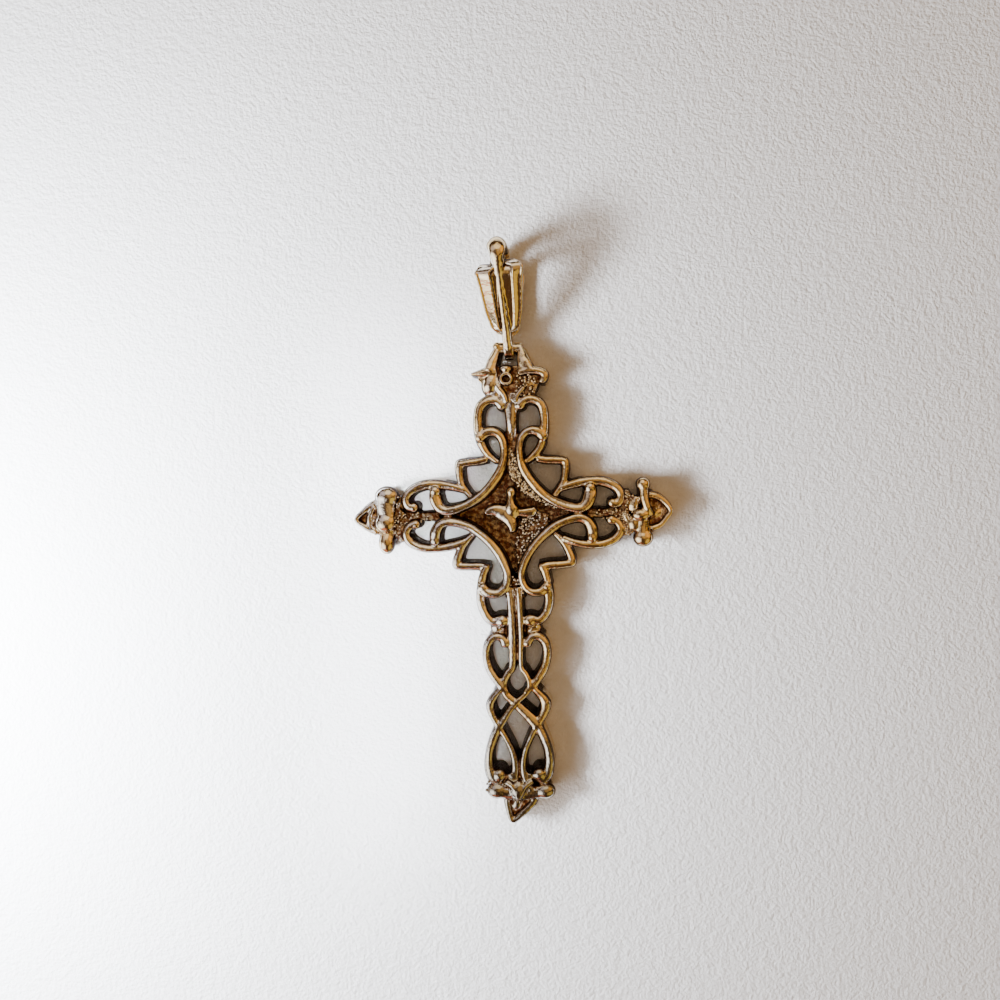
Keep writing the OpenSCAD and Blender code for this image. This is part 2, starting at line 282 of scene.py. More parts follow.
cross = Mould()
UPPER_ARC = [[2.8, 7.1, 0.95, -0.1], [2.2, 7.55, 0.9], [1.4, 7.5, 0.8], [0.85, 6.85, 0.75],
             [0.68, 5.7, 0.75], [0.95, 4.3, 0.8], [1.75, 2.95, 0.8], [2.9, 1.8, 0.8],
             [4.25, 1.05, 0.85], [5.7, 0.65, 0.9], [6.5, 0.95, 1.0], [6.85, 1.75, 1.1],
             [6.9, 2.4, 1.0, -0.1]]
LOWER_ARC = [[2.85, -6.3, 0.9, -0.1], [2.3, -6.75, 0.85], [1.45, -6.75, 0.8],
             [0.8, -6.1, 0.75], [0.62, -5.0, 0.75], [1.15, -3.6, 0.8], [2.15, -2.25, 0.8],
             [3.5, -1.1, 0.8], [4.6, -0.55, 0.8], [5.8, -0.3, 0.85], [6.55, -0.6, 0.9],
             [6.95, -1.3, 1.0], [7.0, -2.0, 0.95, -0.1]]
wires(cross, UPPER_ARC, FRAME_TOP)
wires(cross, LOWER_ARC, FRAME_TOP)
for x, y, r in ((2.8, 7.1, 0.5), (6.9, 2.4, 0.52), (2.85, -6.3, 0.48), (7.0, -2.0, 0.5)):
    posts(cross, x, y, r, FRAME_TOP)
print("frame of the diamond:", cross.count, "points")

# %% [markdown]
# The floor's outline runs along the middles of the four wires, so that it ends inside them.

# %% Floor of the diamond
half = [row[:2] for row in UPPER_ARC[4:10]] + [row[:2] for row in LOWER_ARC[9:3:-1]]
diamond_floor = half + [[-x, y] for x, y in half[::-1]]
plate(cross, diamond_floor, FLOOR_TOP)
print("floor outline:", len(diamond_floor), "corners")

# %% [markdown]
# The dull fields were stippled with fine grains in the wax. The grains are strewn at
# random over an outline, with a fixed seed so that they always fall the same way.

# %% Strew grains over a field
def inside(outline, x, y):
    """Whether a point lies inside an outline, by counting the edges to its right."""
    hits = 0
    for (x0, y0), (x1, y1) in zip(outline, outline[1:] + outline[:1]):
        if (y0 > y) != (y1 > y) and x < (x1 - x0) * (y - y0) / (y1 - y0) + x0:
            hits += 1
    return hits % 2 == 1


def strew(mould, outline, top, density, small, large, seed):
    """Grains that stand half proud of a field, density of them a square millimetre."""
    rng = np.random.default_rng(seed)
    low, high = np.min(outline, axis=0), np.max(outline, axis=0)
    count = int(density * np.prod(high - low))
    for x, y, r, lift in zip(rng.uniform(low[0], high[0], count),
                             rng.uniform(low[1], high[1], count),
                             rng.uniform(small, large, count), rng.uniform(-0.05, 0.1, count)):
        if inside(outline, x, y):
            bead(mould, (x, y, top + lift), (r, r, r))


print("a square's middle is inside it:", inside([[0, 0], [2, 0], [2, 2], [0, 2]], 1, 1))

# %% [markdown]
# In the photo a rough band runs down the upper right edge of the floor, and a rough field
# lies right of the flower and below it. The band is a wide low wire and the field a thin
# plate, both strewn with grains.

# %% Grains on the diamond's floor
grains = Mould()
strew(grains, diamond_floor, FLOOR_TOP, 6, 0.06, 0.13, seed=3)
BAND_TOP = FLOOR_TOP + 0.5
BAND = [[-0.25, 6.0, 0.9], [-0.05, 4.9, 1.1], [0.55, 3.5, 1.2], [1.4, 2.4, 1.0],
        [2.4, 1.65, 0.8], [3.9, 0.9, 0.6]]
BAND_EDGE = [[-0.4, 6.4], [0.5, 4.8], [1.4, 3.2], [2.6, 1.9], [4.4, 0.95], [4, 0.6],
             [2.2, 1.2], [0.9, 2.1], [-0.4, 3.8]]
wire(cross, BAND, BAND_TOP, slope=0.2, dome=0.35)
strew(grains, BAND_EDGE, BAND_TOP, 44, 0.12, 0.19, seed=7)
LOW_FIELD = [[0.9, 0.6], [3.2, 0.1], [3.0, -0.8], [1.6, -2.2], [0.3, -4.6], [0.1, -2.6]]
plate(cross, LOW_FIELD, FLOOR_TOP + 0.25)
strew(grains, LOW_FIELD, FLOOR_TOP + 0.33, 16, 0.08, 0.17, seed=5)
LOWER_POINT = [[-0.6, -5.2], [0.6, -5.2], [0.7, -7.3], [-0.7, -7.3]]
strew(grains, LOWER_POINT, SCROLL_TOP - 0.2, 14, 0.1, 0.18, seed=9)
print("grains so far:", len(grains.points))

# %% [markdown]
# The flower was pressed on by hand: one upright bud and three petals of unequal length,
# rounder than the frame's wires.

# %% The flower on the floor
bead(cross, (-0.15, 2.2, 1.75), (0.5, 0.5, 0.6))
wire(cross, [[-0.15, 2.1, 0.6], [-0.25, 1.3, 0.75], [-0.1, 0.5, 1.2], [0.3, -0.1, 0.7, -0.3]],
     2.3, slope=0.1, foot=1.0, dome=0.55)
wire(cross, [[-2.5, 0.3, 0.6], [-1.8, 0.55, 1.0], [-1.0, 0.3, 1.25], [-0.4, -0.2, 1.1],
             [-0.1, -0.9, 0.8], [-0.15, -1.4, 0.5]], 2.2, slope=0.05, foot=1.0, dome=0.5)
wire(cross, [[0.3, 0.3, 0.6], [1.0, 0.25, 0.8], [1.6, 0.3, 0.95], [2.0, 0.6, 0.6]],
     2.1, slope=0.05, foot=1.0, dome=0.5)
bead(cross, (-1.9, 0.5, 1.7), (0.65, 0.5, 0.5))
print("diamond ready")

# %% [markdown]
# ## Corner petals and arm loops
# A pointed loop fills each corner between the arms and the stem, and two long loops carry
# each arm's fleur. A grainy bar runs out between them.

# %% Corner petals, arm loops and the bar between them
PETAL = [[2.2, 5.1, 0.7], [3.0, 4.95, 0.75], [3.9, 4.9, 0.75], [4.6, 4.82, 0.75],
         [4.75, 4.65, 0.75], [4.72, 3.9, 0.75], [4.55, 3.0, 0.7], [4.05, 2.2, 0.65],
         [3.5, 1.6, 0.6]]
wires(cross, PETAL, SCROLL_TOP - 0.1)
wires(cross, [[x, -0.9 * y, w] for x, y, w in PETAL], SCROLL_TOP - 0.1)
UPPER_LOOP = [[4.3, 2.4, 0.7, -0.1], [5.5, 2.75, 0.8], [7.0, 2.95, 0.85], [8.2, 2.85, 0.85],
              [9.15, 2.4, 0.8], [9.6, 1.7, 0.75], [9.4, 1.05, 0.8], [8.85, 0.9, 0.85]]
LOWER_LOOP = [[4.3, -2.1, 0.7, -0.1], [5.5, -2.5, 0.8], [7.0, -2.7, 0.8], [8.2, -2.6, 0.8],
              [9.15, -2.15, 0.8], [9.6, -1.4, 0.75], [9.3, -0.75, 0.75], [8.75, -0.45, 0.75]]
ARM_BAR = [[6.6, 0.1, 0.7], [7.6, 0.1, 0.9], [8.6, 0.1, 0.8], [10.3, 0, 1.3]]
wires(cross, UPPER_LOOP, SCROLL_TOP)
wires(cross, LOWER_LOOP, SCROLL_TOP)
wires(cross, ARM_BAR, SCROLL_TOP - 0.35)
posts(cross, 8.87, 0.98, 0.47, SCROLL_TOP + 0.05)
posts(cross, 8.72, -0.52, 0.44, SCROLL_TOP + 0.05)
print("petals and loops ready")

# %% [markdown]
# ## The stem
# Twin strands run down the stem, part round a hole, cross, and go on as the ovals' lower
# edges. Leaf loops, ovals and teardrops lie on both sides of them.

# %% Wires of the stem
STEM_LOOP = [[2.4, -4.4, 0.7], [2.8, -5.4, 0.75], [3.0, -6.6, 0.8], [3.0, -7.8, 0.8],
             [2.65, -8.8, 0.8], [2.05, -9.35, 0.8], [1.4, -9.2, 0.9]]
STRAND = [[0.35, -6.3, 0.7], [0.36, -8, 0.6], [0.36, -10.5, 0.58], [0.36, -13.3, 0.56],
          [0.75, -14.0, 0.55], [1.1, -14.8, 0.55], [1.05, -15.5, 0.55], [0.65, -16.3, 0.55],
          [0, -17.0, 0.6], [-0.75, -17.8, 0.6], [-1.7, -18.8, 0.65]]
LEAF = [[0.95, -11.3, 0.8], [1.35, -10.8, 0.75], [2.0, -10.75, 0.75], [2.55, -11.4, 0.75],
        [2.7, -12.4, 0.75], [2.45, -13.5, 0.75], [1.95, -14.4, 0.75], [1.3, -15.3, 0.75],
        [0.8, -15.9, 0.5]]
OVAL = [[1.3, -15.2, 0.6], [1.85, -16.1, 0.7], [2.15, -17.1, 0.75], [2.05, -17.9, 0.7],
        [1.7, -18.7, 0.7]]
DROP_OUTER = [[1.6, -18.6, 0.7], [2.15, -19.7, 0.75], [2.6, -21.0, 0.75], [2.7, -22.2, 0.8],
              [2.5, -23.2, 0.85], [1.95, -23.5, 0.9], [1.7, -23.1, 1.0]]
DROP_INNER = [[1.7, -18.7, 0.65], [1.15, -19.7, 0.6], [0.6, -20.9, 0.6], [0.35, -22.2, 0.65],
              [0.5, -23.4, 0.75], [1.0, -24.4, 0.8]]
print("rows of the stem:", len(STEM_LOOP + STRAND + LEAF + OVAL + DROP_OUTER + DROP_INNER))

# %% [markdown]
# The left strand is the thicker one, as the polishing left it. Small curls and bridges
# join the strands to the loops beside them.

# %% Sweep the stem
for rows in (STEM_LOOP, LEAF, OVAL, DROP_OUTER, DROP_INNER):
    wires(cross, rows, SCROLL_TOP)
APART, THIN, THICK = 0.04, 0.85, 1.2
wire(cross, [[x + APART, y, w * THIN] for x, y, w in STRAND], SCROLL_TOP, slope=0.1,
     dome=0.3)
wire(cross, [[-x - APART, y, w * THICK] for x, y, w in STRAND], SCROLL_TOP, slope=0.1,
     dome=0.35)
posts(cross, 1.25, -9.3, 0.6, SCROLL_TOP + 0.15)
posts(cross, 1.0, -11.32, 0.43, SCROLL_TOP + 0.05)
posts(cross, 1.78, -23.05, 0.62, SCROLL_TOP + 0.15)
wires(cross, [[1.7, -9.3, 1.0], [1.6, -10.0, 1.3], [1.5, -10.7, 1.2]], SCROLL_TOP - 0.25)
wires(cross, [[0.4, -10.0, 1.3], [1.4, -10.0, 1.4]], FLOOR_TOP + 0.3)
wires(cross, [[0.7, -6.9, 0.84], [0.2, -7.3, 0.84]], SCROLL_TOP - 0.3)
post(cross, 0, -5.9, 0.45, SCROLL_TOP - 0.2)
print("stem ready")

# %% [markdown]
# ## The fleurs
# Each arm and the foot end in a fleur: a domed body, a lobe on each side and a hollow tip
# petal with a raised rim. It is made once, with its tip along +Y, and turned into place.

# %% One fleur, turned and moved into place
def fleur(mould, x, y, turn, lobes, bands, rim):
    """lobes: across, along, half widths, top. bands: rows of wires. rim: of the tip petal."""
    part = Mould()
    for across, along, half_across, half_along, top in lobes:
        depth = 0.85 * min(half_across, half_along)
        bead(part, (across, along, top - depth), (half_across, half_along, depth))
        post(part, across, along, 0.7 * min(half_across, half_along), top - depth)
    for rows, top in bands:
        wire(part, rows, top, dome=0.5)
    wire(part, rim, SCROLL_TOP - 0.1, slope=0.1, dome=0.35)
    edge = smooth_line(rim, 4)
    plate(part, [[p[0], p[1]] for p in edge] + [[0, -0.5]], FLOOR_TOP + 0.45)
    bead(part, (0, 0.9, 1.45), (0.72, 1.1, 0.62))
    c, s = math.cos(turn), math.sin(turn)
    points = np.concatenate(part.points) @ np.array([[c, s, 0], [-s, c, 0], [0, 0, 1]])
    mould.add(points + np.array([x, y, 0]), part.faces)

print("fleur ready")

# %% [markdown]
# The right fleur has three knobs and a collar, the left one is fuller, and the foot's is
# crossed by two thin wires. TIP is how far a tip reaches beyond its fleur's middle.

# %% Three fleurs
TIP = 2.89
REACH, FOOT_Y = 14.37 - TIP, TIP - 27.5
COLLAR = [[-2.15, -1.35, 0.5, -0.3], [-1.1, -1.15, 0.75], [-0.1, -1.5, 0.7, -0.1],
          [0.9, -1.15, 0.8], [2.0, -1.3, 0.6, -0.3]]
fleur(cross, REACH, 0, -math.pi / 2,
      lobes=[[-2.6, 0.12, 0.66, 0.66, 2.65], [2.2, 0.05, 0.82, 0.92, 2.55],
             [0.1, -0.1, 0.6, 0.85, 2.7], [0.85, -0.7, 0.85, 0.65, 2.4]],
      bands=[[[[-2.4, 0.15, 0.75], [-1.3, 0.2, 0.75], [-0.4, 0.45, 0.7],
               [0.2, 0.85, 0.6, -0.2]], 2.6],
             [[[-1.5, -0.45, 0.7], [-0.7, -0.8, 0.9], [-0.2, -1.1, 0.6, -0.2]], 2.35],
             [[[2.0, 0.1, 1.2], [1.0, 0.05, 1.1], [0.3, 0, 1.1]], 2.4], [COLLAR, 2.2]],
      rim=[[-1.7, 0.5, 0.6], [-1.5, 1.35, 0.6], [-0.95, 2.05, 0.55], [-0.15, 2.55, 0.45],
           [0.5, 2.15, 0.5], [1.1, 1.6, 0.55], [1.4, 0.8, 0.6]])
fleur(cross, -REACH, 0, math.pi / 2,
      lobes=[[2.0, -0.25, 0.95, 1.12, 2.65], [-2.1, -0.15, 1.05, 0.75, 2.5],
             [-0.3, -0.1, 1.0, 1.05, 2.7]],
      bands=[[[[1.9, -0.2, 1.5], [1.0, -0.15, 1.6], [0.1, -0.1, 1.6]], 2.5],
             [[[-1.9, -0.2, 1.1], [-1.0, -0.3, 1.2], [-0.4, -0.2, 1.2]], 2.3],
             [[[1.1, 0.85, 0.5], [0.3, 1.3, 0.55], [-0.6, 1.3, 0.55], [-1.25, 0.7, 0.5]], 2.2],
             [[[0.7, -1.6, 0.9], [0.1, -1.0, 1.0]], 2.1], [COLLAR, 2.1]],
      rim=[[1.5, 0.4, 0.55], [1.3, 1.1, 0.55], [0.75, 1.85, 0.5], [0.0, 2.52, 0.45],
           [-0.6, 1.8, 0.5], [-1.0, 1.1, 0.5], [-1.15, 0.4, 0.5]])
fleur(cross, 0, FOOT_Y, math.pi,
      lobes=[[1.95, -0.2, 1.0, 0.78, 2.45], [-2.3, -0.05, 0.9, 0.75, 2.5],
             [0.1, -0.3, 0.85, 0.95, 2.65]],
      bands=[[[[1.9, -0.1, 1.1], [1.0, 0.05, 1.1], [0.2, 0.2, 1.1]], 2.3],
             [[[-2.2, 0.0, 1.2], [-1.2, 0.05, 1.1], [-0.2, 0.2, 1.1]], 2.35],
             [[[1.2, -1.1, 0.6, -0.2], [0.5, -0.6, 0.5], [0.05, 0.5, 0.5]], 2.6],
             [[[-1.2, -1.1, 0.6, -0.2], [-0.5, -0.6, 0.5], [0.0, 0.5, 0.5]], 2.6],
             [[[0.9, -1.7, 0.8], [0.6, -1.0, 1.0]], 2.2],
             [[[-0.9, -1.7, 0.8], [-0.6, -1.0, 1.0]], 2.2]],
      rim=[[1.15, 0.3, 0.6], [0.95, 1.05, 0.6], [0.5, 1.8, 0.55], [0.0, 2.48, 0.5],
           [-0.6, 1.9, 0.6], [-1.25, 1.1, 0.6], [-1.5, 0.3, 0.6]])
print("fleurs at", round(REACH, 2), "mm to each side and", round(-FOOT_Y, 2), "mm down")

# %% [markdown]
# Grains fill the collars, the bars between the arm loops, and the left of the foot.

# %% Grains on the arms and the foot
for side in (-1, 1):
    near, far, inner = side * 10.0, side * 10.7, side * 7.2
    strew(grains, [[near, 2.0], [far, 2.0], [far, -2.0], [near, -2.0]], 2.2, 14, 0.08, 0.16,
          seed=11 + side)
    end = side * 10.1
    strew(grains, [[inner, 0.4], [end, 0.6], [end, -0.6], [inner, -0.3]], 1.95, 12, 0.08, 0.16,
          seed=15 + side)
strew(grains, [[-3.1, -23.4], [-1.2, -23.4], [-1.2, -24.3], [-3.1, -24.3]], 2.1, 12, 0.1, 0.18,
      seed=21)
print("grains so far:", len(grains.points))

# %% [markdown]
# ## The crown
# Two scrolls hang below the crown, on both sides of a middle rib.

# %% Scrolls below the crown
SCROLL = [[0.75, 9.9, 0.8], [1.3, 10.35, 0.85], [2.05, 10.35, 0.85], [2.7, 9.85, 0.85],
          [2.95, 8.9, 0.85], [2.95, 7.7, 0.85], [2.8, 6.8, 0.8, -0.1], [2.45, 6.0, 0.75, -0.1],
          [1.95, 5.4, 0.7, -0.1], [1.3, 4.85, 0.6, -0.1]]
wires(cross, SCROLL, SCROLL_TOP + 0.1)
posts(cross, 0.85, 9.9, 0.5, SCROLL_TOP + 0.1)
MIDDLE_RIB = [[0, 11, 1.3], [0, 9.6, 1.1], [0, 8.2, 1.0], [0, 7.0, 1.1, -0.2],
              [0, 5.7, 0.5, -0.3]]
wire(cross, MIDDLE_RIB, SCROLL_TOP - 0.1, dome=0.5)
print("scrolls ready")

# %% [markdown]
# The crown is a plate with a fuller body on the left, a drawn-out point there, and a
# curled right edge. Its right field is grainy.

# %% The crown's plate, edges and bodies
CROWN = [[1.9, 13.25], [2.75, 12.95], [2.9, 12.2], [2.45, 11.7], [2.25, 11.1], [2.2, 10.5]]
plate(cross, [[-x, y] for x, y in CROWN[::-1]] + [[0, 13.45]] + CROWN + [[0, 10.2]],
      SCROLL_TOP - 0.3)
wire(cross, [[-1.2, 13.0, 1.0], [-2.2, 12.85, 0.8], [-2.9, 12.75, 0.55, -0.1],
             [-3.5, 12.7, 0.25, -0.2]], FLEUR_TOP - 0.4)
wire(cross, [[0.7, 12.75, 0.7, -0.1], [1.6, 12.95, 0.8], [2.5, 12.9, 0.8], [3.05, 12.6, 0.75],
             [3.0, 12.1, 0.6], [2.6, 12.0, 0.5, -0.1]], FLEUR_TOP - 0.3)
wire(cross, [[-1.35, 12.3, 0.8, -0.1], [-1.1, 11.5, 0.7], [-0.6, 10.8, 0.6], [-0.35, 10.1, 0.5]],
     FLEUR_TOP - 0.35, dome=0.5)
bead(cross, (-1.75, 11.85, 1.6), (0.85, 1.2, 0.8), turn=-0.3)
bead(cross, (-1.3, 10.9, 1.5), (0.75, 0.8, 0.75))
bead(cross, (1.65, 11.85, 1.45), (0.95, 1.15, 0.65), turn=0.3)
wire(cross, [[1.2, 11.5, 0.5], [0.7, 10.9, 0.5], [0.4, 10.2, 0.45]], SCROLL_TOP + 0.1)
print("crown's plate has", 2 * len(CROWN) + 2, "corners")

# %% [markdown]
# A small hole in the crown, a third of a millimetre left of the middle, is shown by its raised
# lip round a shallow pit.

# %% The lip of the hole, and the crown's grains
HOLE_X, HOLE_Y = -0.36, 12.24
lip = [[HOLE_X + 0.48 * math.cos(a), HOLE_Y + 0.46 * math.sin(a), 0.3]
       for a in np.linspace(0, 2 * math.pi, 25)]
wire(cross, lip, FLEUR_TOP - 0.25, steps=2, slope=0.0, dome=0.2, foot=1.0)
bead(cross, (-0.35, 13.12, 1.8), (0.66, 0.42, 0.75))
strew(grains, [[0.5, 12.6], [2.4, 12.6], [2.1, 10.8], [0.5, 10.6]], SCROLL_TOP - 0.22, 16,
      0.1, 0.17, seed=31)
print("hole at", HOLE_X, HOLE_Y)

# %% [markdown]
# The head petal is two legs that lean together and carry a round bar. The bail's eye goes
# round this bar, so the bar stays a plain cylinder between the legs.

# %% Head petal and bar
wire(cross, [[-1.75, 13.0, 1.0], [-1.5, 13.9, 0.9, -0.15], [-1.25, 14.6, 0.75, -0.4],
             [-1.04, 15.05, 0.6, -0.62]], SCROLL_TOP + 0.1, slope=0.1)
wire(cross, [[1.45, 13.0, 1.4], [1.2, 13.9, 1.15, -0.1], [1.08, 14.6, 0.85, -0.4],
             [1.02, 15.05, 0.6, -0.62]], SCROLL_TOP + 0.1, slope=0.1, dome=0.4)
BAR_TURN = np.linspace(0, 2 * math.pi, 32, endpoint=False)
cross.rings([np.column_stack([np.full(32, x), BAR_Y + BAR_R * np.cos(BAR_TURN),
                              BAR_Z + BAR_R * np.sin(BAR_TURN)]) for x in (-1.1, 0, 1.1)])
bead(cross, (-1.15, 15.25, 1.45), (0.42, 0.36, 0.4))
print("crown ready, bar", 2 * BAR_R, "mm thick")

# %% [markdown]
# The wax was pressed and pulled a little by hand. Each row moves the metal round a place:
# x, y, how far it goes in x and y, and how far round that is felt.

# %% Bend the wax, then cast the cross
BENT = [[-4.9, -4.3, -0.45, 0.0, 1.3], [4.9, -4.3, 0.45, 0.0, 1.3], [0, -17.0, -0.25, 0.4, 1.6],
        [-2.4, -17.2, -0.3, 0.3, 1.2], [2.4, -17.2, 0.45, 0.3, 1.2], [0, -27.3, -0.65, 0.0, 1.7]]
for mould in (cross, grains):
    for points in mould.points:
        start = points[:, :2].copy()
        for x, y, move_x, move_y, reach in BENT:
            felt = np.exp(-((start[:, 0] - x) ** 2 + (start[:, 1] - y) ** 2) / reach**2)
            points[:, 0] += move_x * felt
            points[:, 1] += move_y * felt
cross_casting = cast("cross_casting", cross, grains, voxel=0.075, faces=140000, smooth=4)

# %% [markdown]
# ## The bail
# The bail is a bent loop: a raised middle rib, a sunk grainy field and two side ribbons all
# run up the front, over the top and down the back. Each is swept along its own U-shaped
# path, whose two ends run into a small eye round the bar. The eye is where it turns.

# %% The path of a ribbon
LEAN = math.radians(4)
EYE_R, EYE_WALL, EYE_HALF = 0.63, 0.46, 0.42
BACK_OVER_TABLE = 0.06


def u_path(reach, front, bend, sunk):
    """Points and outward directions, seen from the side: up the bail, and forward."""
    small, back = EYE_R + EYE_WALL - sunk, BACK_OVER_TABLE - BAR_Z + sunk
    path = []
    for way, depth in ((1, front), (-1, back)):
        centre = np.array([reach - bend, depth - way * bend])
        aim = math.atan2(centre[1], centre[0])
        tilt = aim + way * math.acos((small - bend) / np.linalg.norm(centre))
        out = [np.array([math.cos(a), math.sin(a)]) for a in np.linspace(tilt, 0, 24)]
        half = [(t * centre + (small + (bend - small) * t) * out[0], out[0])
                for t in np.linspace(0, 1, 24, endpoint=False)]
        half += [(centre + bend * n, n) for n in out]
        path += half if way > 0 else half[::-1]
    return path


print("clearance round the bar:", round(EYE_R - BAR_R, 2), "mm")

# %% [markdown]
# A ribbon falls away from the rib near its top. No point of it may come inside the eye, or
# the bail couldn't turn on the bar, so such points are pushed out to the eye's hole.

# %% Sweep a ribbon
EYE_CLEAR = 1.03 * EYE_R
ROUNDED = 2.0


def ribbon(mould, reach, front, bend, sunk, section, bow=0.3):
    """section(up, share of the way) gives x and outward offsets round the ribbon."""
    path = u_path(reach, front, bend, sunk)
    rings = []
    for i, (point, out) in enumerate(path):
        x, lift = section(point[0], i / (len(path) - 1))
        middle, half = (max(x) + min(x)) / 2, (max(x) - min(x)) / 2
        near_top = min(1, max(0, (point[0] - reach + ROUNDED) / ROUNDED)) ** 2
        fall = bow * near_top * ((np.array(x) - middle) / half) ** 2
        height = point[0] - fall + out[0] * np.array(lift)
        forward = point[1] + out[1] * np.array(lift)
        from_bar = np.maximum(np.hypot(height, forward), 0.05)
        push = np.maximum(1, EYE_CLEAR / from_bar)
        rings.append(np.column_stack([x, height * push, forward * push]))
    mould.rings(rings)

print("ribbons keep", round(EYE_CLEAR, 3), "mm from the bar's middle")

# %% [markdown]
# Seen from the front, the bail is narrow at its waist and widest near its lobes. Each
# width is a row of how far up the bail, and half the width there.

# %% Widths up the bail
def taper(rows):
    """A function that gives the half width at any height up the bail."""
    ups, widths = zip(*rows)
    return lambda up: np.interp(up, ups, widths)


side_half = taper([(0.6, 0.42), (1.2, 0.48), (1.4, 1.3), (2.8, 1.66), (5, 1.93), (6.3, 2.14),
                   (6.8, 2.12), (7.2, 1.98), (7.8, 1.6)])
rib_half = taper([(2, 0.44), (5, 0.48), (7.4, 0.66), (8.8, 0.86), (9.4, 0.84)])
crest_turn = np.linspace(0, math.pi, 13)
print("half width at the lobes:", side_half(6.3), "mm")

# %% [markdown]
# The rib is domed with a scalloped right edge, the field lies flat between the ribbons, and
# each side ribbon slopes away from the rib like a roof and closes in on it at its top.

# %% Sections of the rib, the field and the side ribbons
RIM_LIP = [-0.7, -0.7, -0.5, -0.36, -0.33, -0.4]


def rib_section(up, share):
    half = rib_half(up)
    scallop = 0.1 * abs(math.sin(math.pi * up / 0.75)) if 2.2 < up < 7.6 else 0.0
    x = [-half * 0.9, half * 0.9] + [
        half * math.cos(a) - (scallop if math.cos(a) > 0.5 else 0) for a in crest_turn]
    return x, [-0.75, -0.75] + [-0.42 + 0.42 * math.sin(a) for a in crest_turn]


def field_section(up, share):
    half = (side_half(up) - 0.12) * (1 - 0.2 * share)
    return [-half, 0, half, half, -half], [-0.45, -0.45, -0.45, -0.1, -0.1]


def rim_section(side, share_of_half, fall, reach):
    """A ribbon that slopes away from the rib like a roof, with a lip at its outer edge."""
    def section(up, share):
        outer = side_half(up) - 0.35 * max(0, 2 * share - 1) * min(1, side_half(up) - 0.45)
        closing = 1 - 0.6 * min(1, max(0, (up - reach + 1.3) / 0.7))
        inner = outer * (1 - share_of_half) * closing
        u = [inner, outer, outer, outer - 0.06, outer - 0.16, outer - 0.26, inner + 0.12,
             inner]
        lift = RIM_LIP + [fall - 0.4, fall - 0.5]
        if side < 0:
            return [-v for v in u[::-1]], lift[::-1]
        return u, lift
    return section

print("a rib section has", len(rib_section(5, 0.3)[0]), "points")

# %% [markdown]
# The rib reaches highest. The right lobe ends half a millimetre above the left one.

# %% The bail's ribbons
bail = Mould()
LEFT_LOBE, RIGHT_LOBE = 7.4, 7.95
ribbon(bail, 9.35, 4.7, 1.6, 0.0, rib_section)
ribbon(bail, 7.5, 4.05, 1.3, 0.35, field_section)
ribbon(bail, LEFT_LOBE, 4.45, 1.3, 0.1, rim_section(-1, 0.64, 0.3, LEFT_LOBE), bow=0.55)
ribbon(bail, RIGHT_LOBE, 4.45, 1.5, 0.1, rim_section(1, 0.5, 0.14, RIGHT_LOBE), bow=0.6)
print("ribbons:", bail.count, "points")

# %% [markdown]
# The eye is a ring with rounded edges, so its section is swept round the bar and joined to
# its own start. A short neck fills the corner between the eye and the ribbons.

# %% The bail's eye and neck
ring_turn = np.linspace(0, 2 * math.pi, 48, endpoint=False)
EYE_EDGE = [(-0.9, 0.0), (0.9, 0.0), (1.0, 0.15), (1.0, 0.85), (0.8, 1.0), (-0.8, 1.0),
            (-1.0, 0.85), (-1.0, 0.15)]
rings = [np.array([[x * EYE_HALF, (EYE_R + r * EYE_WALL) * math.cos(a),
                    (EYE_R + r * EYE_WALL) * math.sin(a)] for x, r in EYE_EDGE])
         for a in ring_turn]
n, m = len(rings), len(EYE_EDGE)
bail.add(np.concatenate(rings), [
    [i * m + k, i * m + (k + 1) % m, (i + 1) % n * m + (k + 1) % m, (i + 1) % n * m + k]
    for i in range(n) for k in range(m)])
NECK = [(0.75, 0.62), (1.3, 1.05), (2.0, 1.2), (2.0, -0.35), (1.3, -0.75), (0.75, -0.62)]
bail.rings([np.array([[x, up, forward] for up, forward in NECK])
            for x in (-EYE_HALF, 0, EYE_HALF)])
print("eye:", 2 * EYE_HALF, "mm wide")

# %% [markdown]
# Two rows of grains stand in the sunk field, one on each side of the rib. Then everything
# leans four degrees to the left, as it lies in the photo, and hangs on the bar.

# %% Set the bail's grains, lean it and cast it
speckles = Mould()
rng = np.random.default_rng(41)
FIELD_FOOT, FIELD_SLOPE = 0.63, 0.455
for up in np.arange(2.6, 7.2, 0.16):
    for x, size in ((-0.42 - 0.04 * up, 0.1), (0.55 + 0.05 * up, 0.09)):
        level = FIELD_FOOT + FIELD_SLOPE * up
        bead(speckles, (x + rng.normal(0, 0.06), up + rng.normal(0, 0.05), level),
             (size * rng.uniform(0.7, 1.3),) * 3)
lean = np.array([[math.cos(LEAN), math.sin(LEAN), 0], [-math.sin(LEAN), math.cos(LEAN), 0],
                 [0, 0, 1]])
for mould in (bail, speckles):
    mould.points = [points @ lean + np.array([-0.1, BAR_Y, BAR_Z]) for points in mould.points]
bail_casting = cast("bail_casting", bail, speckles, voxel=0.05, faces=110000, smooth=3)

# %% [markdown]
# ## Where the silver is dark
# Polishing brightens what stands proud, and the black patina stays in the recesses. Rays
# from each corner of the mesh tell how enclosed it is, and the finish reads that number.
# The rays of one point spread evenly, each turned by the golden angle from the last.

# %% A fan of rays
def ray_fan(count):
    """Directions spread evenly over the half sphere round +Z."""
    golden = math.pi * (3 - math.sqrt(5))
    fan = []
    for i in range(count):
        z = 0.15 + 0.8 * (i + 0.5) / count
        r = math.sqrt(1 - z * z)
        fan.append(Vector((r * math.cos(golden * i), r * math.sin(golden * i), z)))
    return fan


def between(value, start, end):
    """0 at start, 1 at end, and no further on either side."""
    return min(1, max(0, (value - start) / (end - start)))


print("first ray:", ray_fan(12)[0])
